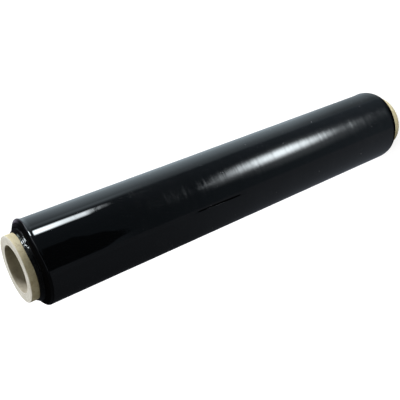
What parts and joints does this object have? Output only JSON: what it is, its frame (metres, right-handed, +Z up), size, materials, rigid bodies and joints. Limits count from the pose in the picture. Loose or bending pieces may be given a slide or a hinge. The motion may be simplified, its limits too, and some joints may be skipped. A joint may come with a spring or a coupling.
{
  "type": "stretch wrap roll",
  "caption": "Roll of black plastic stretch film wound on a paperboard core that stands out at both ends, for wrapping pallets and parcels by hand.",
  "frame": {"origin": "on the roll's axis, at the cut end of the core that it stands on", "axes": "+Z up along the axis; the roll is round about it, and the film's loose edge lies 16 degrees from -Y towards +X"},
  "size_m": [0.0904, 0.0902, 0.536],
  "materials": {
    "core_paperboard": "matt, spirally wound, worn cut edges",
    "black_film": "glossy, tightly wound turns"
  },
  "bodies": {
    "root": {"core_tube": "core_paperboard", "film_roll": "black_film"}
  },
  "joints": []
}
